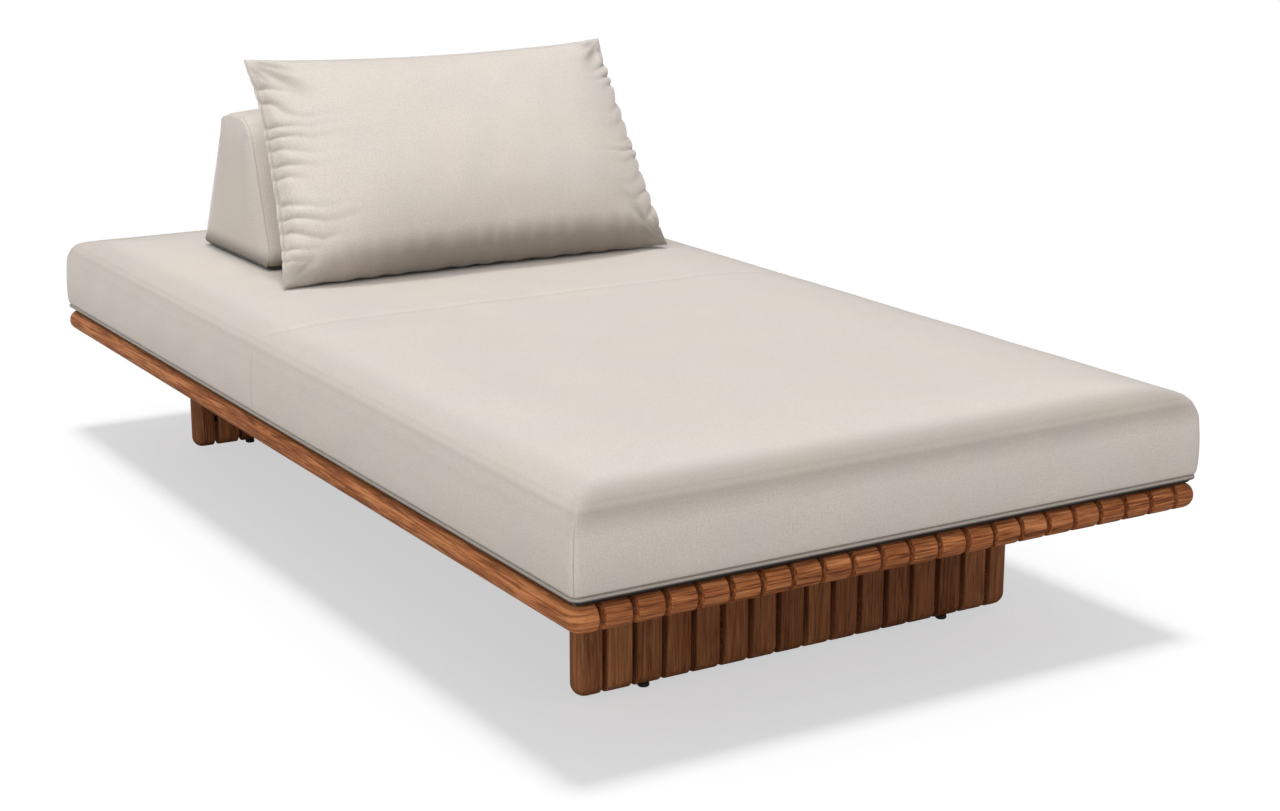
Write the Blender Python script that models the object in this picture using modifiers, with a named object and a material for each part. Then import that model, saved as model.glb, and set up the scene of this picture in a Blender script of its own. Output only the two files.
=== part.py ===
"""Low teak sun lounger: slatted deck on two board legs, with a mattress, a back bolster and a pillow.

Metres, +Z up. The origin is on the floor under the middle of the deck, +Y points to the head end.
"""

import math

import bmesh
import bpy
from mathutils import Vector
from mathutils.bvhtree import BVHTree

CLEARANCE = 0.0003
SOFT_CLEARANCE = 0.0006

# Deck: lengthwise slats, cut from a slab whose outer edges are rounded all the way over
SLAT_COUNT = 22
SLAT_WIDTH = 0.038
SLAT_GAP = 0.0095
DECK_LENGTH = 1.985
DECK_THICKNESS = 0.038
ROUND_FLAT = 0.002
ROUND_SEGMENTS = 4
ARRIS = 0.001
ARRIS_ANGLE = math.radians(60)

# Leg panels: upright boards in line with the slats, strung on two tie rods
LEG_BOARD_COUNT = 16
LEG_HEIGHT = 0.194
LEG_THICKNESS = 0.038
FOOT_LEG_SETBACK = 0.239
HEAD_LEG_SETBACK = 0.254
TIE_ROD_RADIUS = 0.005
TIE_ROD_SIDES = 10
TIE_ROD_INSET = 0.049
TIE_ROD_STOP = 0.012

# Cross bearers under the slats, and angle rails that fix the legs to them
BEARER_WIDTH = 0.060
BEARER_THICKNESS = 0.022
BEARER_INSET = 0.055
BEARER_ARRIS = 0.002
ANGLE_FLANGE = 0.040
ANGLE_THICKNESS = 0.004
ANGLE_INSET = 0.030

# Levelling glides under the third board from each end of a leg
GLIDE_HEIGHT = 0.006
GLIDE_RADIUS = 0.0085
GLIDE_EDGE = 0.0012
GLIDE_BOARD = 3
STEM_RADIUS = 0.004
STEM_LENGTH = 0.028
STEM_HEADROOM = 0.004
INSERT_RADIUS = 0.007
INSERT_LENGTH = 0.020
INSERT_RECESS = 0.003
TURNED_STEPS = 16

# Mattress: crowned to a flat top, with sides that swell a little and tuck in under the edge
MATTRESS_EDGE_HEIGHT = 0.138
MATTRESS_CROWN = 0.008
MATTRESS_EDGE_BAND = 0.045
MATTRESS_EDGE_RISE = 0.7
MATTRESS_CROWN_BAND = 0.095
MATTRESS_INSET = 0.0045
MATTRESS_SWELL = 0.003
MATTRESS_TUCK = 0.009
MATTRESS_TUCK_HEIGHT = 0.012
MATTRESS_CORNER_CREASE = 0.65

# Bolster: a block that narrows to its top, more on its back than on its front
BOLSTER_LENGTH = 0.634
BOLSTER_BASE = 0.336
BOLSTER_TOP = 0.118
BOLSTER_TOP_SHIFT = -0.018
BOLSTER_HEIGHT = 0.266
BOLSTER_EDGE_BAND = 0.034
BOLSTER_END_BAND = 0.012
BOLSTER_SWELL = 0.004
BOLSTER_FROM_HEAD = 0.3835

# Pillow: knife-edged, drawn in between its corners, pressed flatter where it leans on the bolster
PILLOW_BOTTOM_WIDTH = 0.760
PILLOW_TOP_WIDTH = 0.702
PILLOW_HEIGHT = 0.416
PILLOW_FRONT_DEPTH = 0.1075
PILLOW_BACK_DEPTH = 0.098
PILLOW_EDGE = 0.004
PILLOW_LEAN = math.radians(28.5)
PILLOW_SIDE_DRAW_IN = 0.003
PILLOW_TOP_DRAW_IN = 0.010
PILLOW_COLUMNS = 6
PILLOW_ROWS = 4
PILLOW_FULLNESS = 3.0
PILLOW_SEAM_CREASE = 0.6
PILLOW_OFF_CENTRE = 0.031
PILLOW_START_GAP = 0.300

SOFT_LEVELS = 2

SLAT_PITCH = SLAT_WIDTH + SLAT_GAP
DECK_WIDTH = SLAT_COUNT * SLAT_PITCH - SLAT_GAP
DECK_BOTTOM = GLIDE_HEIGHT + LEG_HEIGHT
DECK_TOP = DECK_BOTTOM + DECK_THICKNESS
LEG_WIDTH = LEG_BOARD_COUNT * SLAT_PITCH - SLAT_GAP
FOOT_LEG_Y = -DECK_LENGTH / 2 + FOOT_LEG_SETBACK + LEG_THICKNESS / 2
HEAD_LEG_Y = DECK_LENGTH / 2 - HEAD_LEG_SETBACK - LEG_THICKNESS / 2


def clear_scene():
    for obj in list(bpy.data.objects):
        bpy.data.objects.remove(obj, do_unlink=True)


def new_collection(name):
    collection = bpy.data.collections.new(name)
    bpy.context.scene.collection.children.link(collection)
    return collection


def new_material(name, colour, roughness, metallic=0.0):
    material = bpy.data.materials.new(name)
    material.use_nodes = True
    shader = material.node_tree.nodes["Principled BSDF"]
    shader.inputs["Base Color"].default_value = (*colour, 1.0)
    shader.inputs["Roughness"].default_value = roughness
    shader.inputs["Metallic"].default_value = metallic
    return material


def new_object(name, bm, collection, material=None, location=(0, 0, 0)):
    """Makes a smooth-shaded object of the bmesh, which it frees."""
    mesh = bpy.data.meshes.new(name)
    bm.to_mesh(mesh)
    bm.free()
    mesh.shade_smooth()
    mesh.set_sharp_from_angle(angle=math.radians(35))
    if material:
        mesh.materials.append(material)
    obj = bpy.data.objects.new(name, mesh)
    obj.location = location
    collection.objects.link(obj)
    return obj


def box_mesh(size):
    bm = bmesh.new()
    bmesh.ops.create_cube(bm, size=1.0)
    bmesh.ops.scale(bm, vec=size, verts=bm.verts)
    return bm


def weight_edges(bm, chosen):
    """Marks for rounding each edge of a box whose middle point the test accepts."""
    weight = bm.edges.layers.float.new("bevel_weight_edge")
    for edge in bm.edges:
        if chosen((edge.verts[0].co + edge.verts[1].co) / 2):
            edge[weight] = 1.0


def round_over(obj, radius):
    """Rounds the marked edges over, then eases the arrises that are left."""
    over = obj.modifiers.new("round_over", "BEVEL")
    over.limit_method = "WEIGHT"
    over.width = radius
    over.segments = ROUND_SEGMENTS
    ease(obj, ARRIS)


def ease(obj, width):
    arris = obj.modifiers.new("arris", "BEVEL")
    arris.limit_method = "ANGLE"
    arris.angle_limit = ARRIS_ANGLE
    arris.width = width
    arris.segments = 1


def evaluated_mesh(obj):
    """A plain mesh of the object as its modifiers leave it."""
    graph = bpy.context.evaluated_depsgraph_get()
    return bpy.data.meshes.new_from_object(obj.evaluated_get(graph))


def lattice_x(index, count):
    """Centre of one of several boards set side by side at the slat pitch."""
    return (index - (count - 1) / 2) * SLAT_PITCH


def outer_side(index, count):
    """-1 or 1 for the first or the last board, 0 for those between."""
    return (index == count - 1) - (index == 0)


def make_slats(collection, material):
    size = Vector((SLAT_WIDTH, DECK_LENGTH, DECK_THICKNESS))
    slats = []
    for index in range(SLAT_COUNT):
        side = outer_side(index, SLAT_COUNT)
        bm = box_mesh(size)
        weight_edges(bm, lambda at: side * at.x > 0 or (at.x == 0 and at.y != 0))
        place = (lattice_x(index, SLAT_COUNT), 0, DECK_BOTTOM + DECK_THICKNESS / 2)
        slat = new_object(f"slat_{index + 1:02d}", bm, collection, material, place)
        round_over(slat, (DECK_THICKNESS - ROUND_FLAT) / 2)
        slats.append(slat)
    return slats


def make_board(index, cutters):
    """One upright leg board, rounded under its foot and, on the outer two, round the outer side."""
    side = outer_side(index, LEG_BOARD_COUNT)
    bm = box_mesh((SLAT_WIDTH, LEG_THICKNESS, LEG_HEIGHT - CLEARANCE))
    weight_edges(bm, lambda at: at.z <= 0 and (side * at.x > 0 or (at.x == 0 and at.z < 0)))
    place = (lattice_x(index, LEG_BOARD_COUNT), 0, (LEG_HEIGHT - CLEARANCE) / 2)
    board = new_object(f"board_{index + 1:02d}", bm, cutters, location=place)
    round_over(board, (LEG_THICKNESS - ROUND_FLAT) / 2)
    return board


def rod_mesh():
    """The two tie rods that string the boards, held blind in the outer boards."""
    bm = bmesh.new()
    length = LEG_WIDTH - 2 * TIE_ROD_STOP
    for height in (TIE_ROD_INSET, LEG_HEIGHT - TIE_ROD_INSET):
        rod = bmesh.ops.create_cone(
            bm, cap_ends=True, segments=TIE_ROD_SIDES,
            radius1=TIE_ROD_RADIUS, radius2=TIE_ROD_RADIUS, depth=length,
        )
        turn = Vector((0, 0, 1)).rotation_difference(Vector((1, 0, 0))).to_matrix()
        bmesh.ops.rotate(bm, verts=rod["verts"], matrix=turn)
        bmesh.ops.translate(bm, verts=rod["verts"], vec=(0, 0, height))
    return bm


def glide_x(end):
    """Middle of the board that carries a glide; end is -1 for the left one and 1 for the right."""
    return end * abs(lattice_x(GLIDE_BOARD - 1, LEG_BOARD_COUNT))


def bore_mesh():
    """The stepped holes for the inserts and the glide stems, open at the foot of the boards."""
    bm = bmesh.new()
    stem_top = STEM_LENGTH + STEM_HEADROOM
    insert_top = INSERT_RECESS + INSERT_LENGTH + CLEARANCE
    for end in (-1, 1):
        for radius, top in ((STEM_RADIUS, stem_top), (INSERT_RADIUS, insert_top)):
            low = -GLIDE_HEIGHT
            hole = bmesh.ops.create_cone(
                bm, cap_ends=True, segments=TURNED_STEPS,
                radius1=radius + CLEARANCE, radius2=radius + CLEARANCE, depth=top - low,
            )
            bmesh.ops.translate(bm, verts=hole["verts"], vec=(glide_x(end), 0, (top + low) / 2))
    return bm


def boolean(obj, operation, other):
    step = obj.modifiers.new(other.name, "BOOLEAN")
    step.operation = operation
    step.solver = "EXACT"
    step.object = other
    step.use_self = True


def make_leg_panel(name, y, rods, bores, collection, cutters, material):
    """Sixteen boards on their tie rods, bored for the glides, as one piece."""
    boards = [make_board(index, cutters) for index in range(LEG_BOARD_COUNT)]
    bpy.context.view_layer.update()
    bm = bmesh.new()
    for board in boards:
        mesh = evaluated_mesh(board)
        mesh.transform(board.matrix_world)
        bm.from_mesh(mesh)
        bpy.data.meshes.remove(mesh)
        bpy.data.objects.remove(board)
    panel = new_object(name, bm, collection, material, (0, y, GLIDE_HEIGHT))
    for tool, operation in ((rods, "UNION"), (bores, "DIFFERENCE")):
        helper = bpy.data.objects.new(f"{name}_{tool.name}", tool)
        helper.location = panel.location
        helper.hide_render = True
        helper.display_type = "WIRE"
        cutters.objects.link(helper)
        boolean(panel, operation, helper)
    return panel


def make_bearers(collection, material):
    """Cross bearers: one in the middle of each overhang, two at thirds between the legs."""
    third = (HEAD_LEG_Y - FOOT_LEG_Y) / 3
    places = {
        "bearer_foot": (-DECK_LENGTH / 2 + FOOT_LEG_Y - LEG_THICKNESS / 2) / 2,
        "bearer_mid_foot": FOOT_LEG_Y + third,
        "bearer_mid_head": HEAD_LEG_Y - third,
        "bearer_head": (DECK_LENGTH / 2 + HEAD_LEG_Y + LEG_THICKNESS / 2) / 2,
    }
    size = (DECK_WIDTH - 2 * BEARER_INSET, BEARER_WIDTH, BEARER_THICKNESS)
    height = DECK_BOTTOM - CLEARANCE - BEARER_THICKNESS / 2
    bearers = []
    for name, y in places.items():
        bearer = new_object(name, box_mesh(size), collection, material, (0, y, height))
        ease(bearer, BEARER_ARRIS)
        bearers.append(bearer)
    return bearers


def make_angle(name, leg_y, inward, collection, material):
    """An L rail in the inner corner between a leg panel and the deck; inward is the sense of +Y."""
    outline = [
        (0, 0),
        (ANGLE_FLANGE, 0),
        (ANGLE_FLANGE, -ANGLE_THICKNESS),
        (ANGLE_THICKNESS, -ANGLE_THICKNESS),
        (ANGLE_THICKNESS, -ANGLE_FLANGE),
        (0, -ANGLE_FLANGE),
    ]
    length = LEG_WIDTH - 2 * ANGLE_INSET
    bm = bmesh.new()
    corners = [bm.verts.new((-length / 2, inward * y, z)) for y, z in outline]
    face = bm.faces.new(corners)
    swept = bmesh.ops.extrude_face_region(bm, geom=[face])
    moved = [item for item in swept["geom"] if isinstance(item, bmesh.types.BMVert)]
    bmesh.ops.translate(bm, verts=moved, vec=(length, 0, 0))
    bmesh.ops.recalc_face_normals(bm, faces=bm.faces)
    inner_face = leg_y + inward * (LEG_THICKNESS / 2 + CLEARANCE)
    place = (0, inner_face, DECK_BOTTOM - CLEARANCE)
    return new_object(name, bm, collection, material, place)


def turned(name, profile, closed, place, collection, material):
    """A piece turned about +Z from (radius, height) points that run down its outer side."""
    bm = bmesh.new()
    points = [bm.verts.new((radius, 0, height)) for radius, height in profile]
    for start, end in zip(points, points[1:]):
        bm.edges.new((start, end))
    if closed:
        bm.edges.new((points[-1], points[0]))
    obj = new_object(name, bm, collection, material, place)
    turn = obj.modifiers.new("turn", "SCREW")
    turn.steps = TURNED_STEPS
    turn.render_steps = TURNED_STEPS
    turn.use_merge_vertices = True
    turn.merge_threshold = 0.00001
    turn.use_smooth_shade = True
    return obj


def make_glide(name, x, y, collection, material):
    """A pad on a threaded stem; its origin is on the floor, on the screw's axis."""
    pad_top = GLIDE_HEIGHT - CLEARANCE
    profile = [
        (0, GLIDE_HEIGHT + STEM_LENGTH),
        (STEM_RADIUS, GLIDE_HEIGHT + STEM_LENGTH),
        (STEM_RADIUS, pad_top),
        (GLIDE_RADIUS - GLIDE_EDGE, pad_top),
        (GLIDE_RADIUS, pad_top - GLIDE_EDGE),
        (GLIDE_RADIUS, GLIDE_EDGE),
        (GLIDE_RADIUS - GLIDE_EDGE, 0),
        (0, 0),
    ]
    return turned(name, profile, False, (x, y, 0), collection, material)


def make_insert(name, x, y, collection, material):
    bore = STEM_RADIUS + CLEARANCE
    profile = [
        (INSERT_RADIUS, INSERT_RECESS + INSERT_LENGTH),
        (INSERT_RADIUS, INSERT_RECESS),
        (bore, INSERT_RECESS),
        (bore, INSERT_RECESS + INSERT_LENGTH),
    ]
    return turned(name, profile, True, (x, y, GLIDE_HEIGHT), collection, material)


def cage(size, cuts):
    """A box standing on z = 0, cut at the given places along each axis."""
    bm = box_mesh(size)
    bmesh.ops.translate(bm, verts=bm.verts, vec=(0, 0, size[2] / 2))
    for axis, places in enumerate(cuts):
        normal = Vector((0, 0, 0))
        normal[axis] = 1
        for place in places:
            everything = list(bm.verts) + list(bm.edges) + list(bm.faces)
            bmesh.ops.bisect_plane(bm, geom=everything, plane_co=normal * place, plane_no=normal)
    return bm


def crease_layer(bm):
    return bm.edges.layers.float.new("crease_edge")


def crease_bottom(bm):
    """Keeps the outline of the underside sharp, and returns the layer for other seams."""
    crease = crease_layer(bm)
    bm.normal_update()
    for edge in bm.edges:
        downward = [face.normal.z < -0.5 for face in edge.link_faces]
        if any(downward) and not all(downward):
            edge[crease] = 1.0
    return crease


def soften(obj):
    soft = obj.modifiers.new("soft", "SUBSURF")
    soft.levels = SOFT_LEVELS
    soft.render_levels = SOFT_LEVELS


def both(value):
    return (-value, value)


def make_mattress(collection, material):
    half = Vector((DECK_WIDTH / 2 - MATTRESS_INSET, DECK_LENGTH / 2 - MATTRESS_INSET))

    def inset(point):
        return min(half[axis] - abs(point[axis]) for axis in (0, 1))

    near = [side - MATTRESS_EDGE_BAND for side in half]
    far = [side - MATTRESS_CROWN_BAND for side in half]
    levels = (MATTRESS_TUCK_HEIGHT, MATTRESS_EDGE_HEIGHT / 2)
    cuts = [both(near[0]) + both(far[0]), both(near[1]) + both(far[1]), levels]
    bm = cage((2 * half.x, 2 * half.y, MATTRESS_EDGE_HEIGHT), cuts)
    bottom = [face for face in bm.faces if face.normal.z < -0.5]
    bmesh.ops.dissolve_faces(bm, faces=bottom, use_verts=False)
    crease = crease_bottom(bm)
    for edge in bm.edges:
        first, second = (vert.co for vert in edge.verts)
        upright = abs(first.z - second.z) > CLEARANCE
        at_corner = all(abs(abs(first[axis]) - half[axis]) < CLEARANCE for axis in (0, 1))
        if upright and at_corner:
            edge[crease] = MATTRESS_CORNER_CREASE
        elif all(abs(inset(vert.co) - MATTRESS_CROWN_BAND) < CLEARANCE for vert in edge.verts):
            edge[crease] = 1.0
    for vert in bm.verts:
        if vert.co.z > MATTRESS_EDGE_HEIGHT - CLEARANCE:
            if inset(vert.co) > MATTRESS_EDGE_BAND + CLEARANCE:
                vert.co.z += MATTRESS_CROWN
            elif inset(vert.co) > CLEARANCE:
                vert.co.z += MATTRESS_CROWN * MATTRESS_EDGE_RISE
            continue
        outward = MATTRESS_SWELL if vert.co.z > CLEARANCE else -MATTRESS_TUCK
        for axis in (0, 1):
            if half[axis] - abs(vert.co[axis]) < CLEARANCE:
                vert.co[axis] += outward * math.copysign(1, vert.co[axis])
    mattress = new_object("mattress", bm, collection, material, (0, 0, DECK_TOP + CLEARANCE))
    soften(mattress)
    return mattress


def make_bolster(collection, material):
    half = Vector((BOLSTER_LENGTH / 2, BOLSTER_BASE / 2))
    band = BOLSTER_EDGE_BAND
    ends = both(half.x - BOLSTER_END_BAND)
    cuts = [ends, both(half.y - band), (band, BOLSTER_HEIGHT - band)]
    bm = cage((BOLSTER_LENGTH, BOLSTER_BASE, BOLSTER_HEIGHT), cuts)
    crease_bottom(bm)
    for vert in bm.verts:
        inner = [
            half.x - abs(vert.co.x) > CLEARANCE,
            half.y - abs(vert.co.y) > CLEARANCE,
            CLEARANCE < vert.co.z < BOLSTER_HEIGHT - CLEARANCE,
        ]
        rise = vert.co.z / BOLSTER_HEIGHT
        narrowed = 1 - rise * (1 - BOLSTER_TOP / BOLSTER_BASE)
        vert.co.y = vert.co.y * narrowed + rise * BOLSTER_TOP_SHIFT
        if inner == [False, True, True]:
            vert.co.x += math.copysign(BOLSTER_SWELL, vert.co.x)
        elif inner == [True, False, True]:
            vert.co.y += math.copysign(BOLSTER_SWELL, vert.co.y)
        elif inner == [True, True, False] and rise > 0.5:
            vert.co.z += BOLSTER_SWELL
    place = (0, DECK_LENGTH / 2 - BOLSTER_FROM_HEAD, DECK_TOP + 2 * MATTRESS_EDGE_HEIGHT)
    bolster = new_object("bolster", bm, collection, material, place)
    soften(bolster)
    return bolster


def pillow_point(across, up, face):
    """A point of the pillow for across and up from -1 to 1, on its front (1) or its back (-1)."""
    fullness = (1 - abs(across) ** PILLOW_FULLNESS) * (1 - abs(up) ** PILLOW_FULLNESS)
    width = PILLOW_BOTTOM_WIDTH + (PILLOW_TOP_WIDTH - PILLOW_BOTTOM_WIDTH) * (up + 1) / 2
    x = across * (width / 2 - PILLOW_SIDE_DRAW_IN * (1 - up * up))
    y = up * (PILLOW_HEIGHT / 2 - PILLOW_TOP_DRAW_IN * (1 - across * across))
    depth = PILLOW_FRONT_DEPTH if face > 0 else PILLOW_BACK_DEPTH
    half_edge = PILLOW_EDGE / 2
    return Vector((x, y, face * (half_edge + (depth - half_edge) * math.sqrt(fullness))))


def make_pillow(front_y, collection, material):
    bm = bmesh.new()
    crease = crease_layer(bm)
    point = bm.verts.layers.float.new("crease_vert")
    for face in (1, -1):
        grid = bmesh.ops.create_grid(bm, x_segments=PILLOW_COLUMNS, y_segments=PILLOW_ROWS, size=1)
        for vert in grid["verts"]:
            vert.co = pillow_point(vert.co.x, vert.co.y, face)
            if len(vert.link_edges) == 2:
                vert[point] = 1.0
    seam = [edge for edge in bm.edges if edge.is_boundary]
    for edge in seam:
        edge[crease] = PILLOW_SEAM_CREASE
    bmesh.ops.bridge_loops(bm, edges=seam)
    bmesh.ops.recalc_face_normals(bm, faces=bm.faces)
    start = front_y - PILLOW_HEIGHT / 2 * math.sin(PILLOW_LEAN) - PILLOW_START_GAP
    place = (PILLOW_OFF_CENTRE, start, DECK_TOP + MATTRESS_EDGE_HEIGHT + PILLOW_HEIGHT)
    pillow = new_object("pillow", bm, collection, material, place)
    pillow.rotation_euler.x = math.pi / 2 - PILLOW_LEAN
    soften(pillow)
    return pillow


def world_tree(obj):
    mesh = evaluated_mesh(obj)
    mesh.transform(obj.matrix_world)
    points = [vert.co.copy() for vert in mesh.vertices]
    faces = [tuple(face.vertices) for face in mesh.polygons]
    bpy.data.meshes.remove(mesh)
    return points, BVHTree.FromPolygons(points, faces)


def seat(moving, direction, fixed):
    """Slides one soft piece along a direction until it lies a small clearance from another."""
    bpy.context.view_layer.update()
    toward = Vector(direction)
    moving_points, moving_tree = world_tree(moving)
    fixed_points, fixed_tree = world_tree(fixed)
    hits = [fixed_tree.ray_cast(point, toward)[3] for point in moving_points]
    hits += [moving_tree.ray_cast(point, -toward)[3] for point in fixed_points]
    travel = min(distance for distance in hits if distance is not None)
    moving.location += toward * (travel - SOFT_CLEARANCE)
    bpy.context.view_layer.update()


def attach(child, parent):
    child.parent = parent
    child.matrix_parent_inverse = parent.matrix_world.inverted()


def main():
    clear_scene()
    parts = new_collection("sun_lounger")
    cutters = new_collection("cutters")
    deck_teak = new_material("deck_teak", (0.36, 0.15, 0.06), 0.5)
    leg_teak = new_material("leg_teak", (0.14, 0.06, 0.03), 0.55)
    black_metal = new_material("black_metal", (0.015, 0.015, 0.016), 0.45, 0.6)
    black_nylon = new_material("black_nylon", (0.012, 0.012, 0.012), 0.5)
    brass = new_material("brass", (0.55, 0.40, 0.16), 0.35, 1.0)
    canvas = new_material("canvas", (0.68, 0.63, 0.57), 0.9)

    platform = bpy.data.objects.new("platform", None)
    parts.objects.link(platform)
    rods = bpy.data.meshes.new("rods")
    rod_mesh().to_mesh(rods)
    bores = bpy.data.meshes.new("bores")
    bore_mesh().to_mesh(bores)

    fixed = make_slats(parts, deck_teak)
    fixed += make_bearers(parts, leg_teak)
    glides = []
    for end, leg_y, inward in (("foot", FOOT_LEG_Y, 1), ("head", HEAD_LEG_Y, -1)):
        fixed.append(make_leg_panel(f"{end}_leg_panel", leg_y, rods, bores, parts, cutters, leg_teak))
        fixed.append(make_angle(f"{end}_leg_angle", leg_y, inward, parts, black_metal))
        for side, x in (("left", glide_x(-1)), ("right", glide_x(1))):
            fixed.append(make_insert(f"insert_{end}_{side}", x, leg_y, parts, brass))
            glides.append(make_glide(f"glide_{end}_{side}", x, leg_y, parts, black_nylon))

    mattress = make_mattress(parts, canvas)
    bolster = make_bolster(parts, canvas)
    seat(bolster, (0, 0, -1), mattress)
    pillow = make_pillow(bolster.location.y - BOLSTER_BASE / 2, parts, canvas)
    seat(pillow, (0, 0, -1), mattress)
    seat(pillow, (0, 1, 0), bolster)
    seat(pillow, (0, 0, -1), mattress)

    for obj in fixed + glides + [mattress]:
        attach(obj, platform)
    attach(bolster, mattress)
    attach(pillow, bolster)


main()
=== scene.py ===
import math
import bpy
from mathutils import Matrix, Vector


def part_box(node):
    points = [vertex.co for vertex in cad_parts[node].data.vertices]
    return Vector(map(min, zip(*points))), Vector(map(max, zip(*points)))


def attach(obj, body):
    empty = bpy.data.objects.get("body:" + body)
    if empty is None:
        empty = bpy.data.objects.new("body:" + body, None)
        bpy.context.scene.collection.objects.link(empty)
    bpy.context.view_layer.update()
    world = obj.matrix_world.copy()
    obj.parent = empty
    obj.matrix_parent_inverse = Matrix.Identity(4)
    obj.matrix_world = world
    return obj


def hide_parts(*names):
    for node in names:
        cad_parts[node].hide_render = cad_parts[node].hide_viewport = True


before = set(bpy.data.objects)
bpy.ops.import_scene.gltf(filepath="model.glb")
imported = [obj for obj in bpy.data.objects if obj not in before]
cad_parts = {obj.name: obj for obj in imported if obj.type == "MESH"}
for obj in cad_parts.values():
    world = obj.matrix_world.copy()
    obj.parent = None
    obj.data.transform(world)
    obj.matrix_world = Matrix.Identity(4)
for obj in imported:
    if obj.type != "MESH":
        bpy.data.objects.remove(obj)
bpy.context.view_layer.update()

from types import SimpleNamespace

import bmesh
import bpy
import numpy as np
from mathutils import Vector, noise
from mathutils.bvhtree import BVHTree

scene = bpy.context.scene
print("lounger: frame loaded,", len(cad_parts), "nodes")


class Wire:  # a node socket that works in Python sums, in a shader or a geometry tree
    def __init__(self, tree, socket=None):
        self.tree = tree
        self.socket = socket

    def node(self, kind, settings=None, sockets=None, out=0):
        made = self.tree.nodes.new(kind)
        for name, value in (settings or {}).items():
            setattr(made, name, value)
        for key, value in (sockets or {}).items():
            if isinstance(value, Wire):
                self.tree.links.new(value.socket, made.inputs[key])
            else:
                made.inputs[key].default_value = value
        return Wire(self.tree, made.outputs[out])

    def mark(self, name):  # a number kept with the mesh
        return self.node("ShaderNodeAttribute", {"attribute_name": name}, out="Fac")

    def also(self, name):  # another output of the same node
        return Wire(self.tree, self.socket.node.outputs[name])

    def into(self, node, name):
        self.tree.links.new(self.socket, node.inputs[name])

    def math(self, operation, *others):
        return self.node("ShaderNodeMath", {"operation": operation}, dict(enumerate((self, *others))))

    def vector(self, operation, other):
        return self.node("ShaderNodeVectorMath", {"operation": operation}, {0: self, 1: other})

    def ease(self, low, high):  # 0 at low, 1 at high, smooth between
        sockets = {0: self, 1: low, 2: high, 3: 0.0, 4: 1.0}
        return self.node("ShaderNodeMapRange", {"interpolation_type": "SMOOTHSTEP"}, sockets)

    def blend(self, first, second, kind="MIX"):  # a colour from first to second
        sockets = {0: self, 6: first, 7: second}
        return self.node("ShaderNodeMix", {"data_type": "RGBA", "blend_type": kind}, sockets, out=2)

    def noise(self, scale, detail=2.0, rough=0.5, distort=0.0):  # self is the place
        return self.node("ShaderNodeTexNoise", None, {
            "Vector": self, "Scale": scale, "Detail": detail, "Roughness": rough, "Distortion": distort,
        })

    def layer(self, stretch, detail, rough, distort=0.0):  # noise with its own scale on each axis
        return self.vector("MULTIPLY", stretch).noise(1.0, detail, rough, distort)

    def parts(self):  # x, y and z of a place
        x = self.node("ShaderNodeSeparateXYZ", None, {0: self})
        return x, x.also("Y"), x.also("Z")

    def above(self, name):  # how high a place lies over the foot of a CAD piece
        return self.parts()[2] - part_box(name)[0].z

    def __add__(self, other):
        return self.math("ADD", other)

    def __sub__(self, other):
        return self.math("SUBTRACT", other)

    def __rsub__(self, other):
        return self.node("ShaderNodeMath", {"operation": "SUBTRACT"}, {0: other, 1: self})

    def __mul__(self, other):
        return self.math("MULTIPLY", other)

    def __truediv__(self, other):
        return self.math("DIVIDE", other)

    def __rtruediv__(self, other):
        return self.node("ShaderNodeMath", {"operation": "DIVIDE"}, {0: other, 1: self})

    def __abs__(self):
        return self.math("ABSOLUTE")

    __radd__ = __add__
    __rmul__ = __mul__


def paint(red, green, blue):  # a screen colour, 0 to 255, as the shader's own numbers
    def linear(value):
        value /= 255
        return value / 12.92 if value < 0.04045 else ((value + 0.055) / 1.055) ** 2.4
    return (linear(red), linear(green), linear(blue), 1.0)


def newFinish(name, inputs):  # a material, its shader and the place on the piece
    material = bpy.data.materials.new(name)
    material.use_nodes = True
    shader = material.node_tree.nodes["Principled BSDF"]
    for key, value in inputs.items():
        shader.inputs[key].default_value = value
    return material, shader, Wire(material.node_tree).node("ShaderNodeTexCoord", out="Object")


def bump(height, shader, strength, distance):
    sockets = {"Height": height, "Strength": strength, "Distance": distance}
    height.node("ShaderNodeBump", None, sockets, out="Normal").into(shader, "Normal")


teakLook = {
    "light": (207, 139, 91),
    "mid": (161, 99, 60),
    "dark": (108, 60, 37),
    # the deck's teak painted a little lighter: painted light that makes up for the shade under the deck
    "legLight": (208, 148, 102),
    "legMid": (164, 110, 74),
    "legDark": (112, 70, 48),
    "boardShift": 7.3,
    "shader": {"Specular IOR Level": 0.10},
    "railLift": 0.07,  # the two outer slats are lighter boards
    "deckSpread": 0.16,  # how far the boards differ in tone
    "legSpread": 0.26,
    "legContrast": 0.7,
    # layers: scale along and across the grain, detail, roughness and distortion
    "figure": ((2.2, 34.0, 34.0), 4.0, 0.55, 0.6),
    "streak": ((13.0, 320.0, 320.0), 3.0, 0.6, 0.4),
    "fibre": ((30.0, 900.0, 900.0), 2.0, 0.6),
    "pore": ((55.0, 1500.0, 1500.0), 1.0, 0.5),
    "rings": 7.0,  # from the figure's lowest place to its highest
    "poreShade": 0.55,
    "poreTint": (0.45, 0.4, 0.4, 1.0),
    "blotch": (19.0, 3.0, 0.6),
    "redTint": (1.0, 0.87, 0.72, 1.0),
    "bump": (0.35, 0.0005),
}


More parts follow.
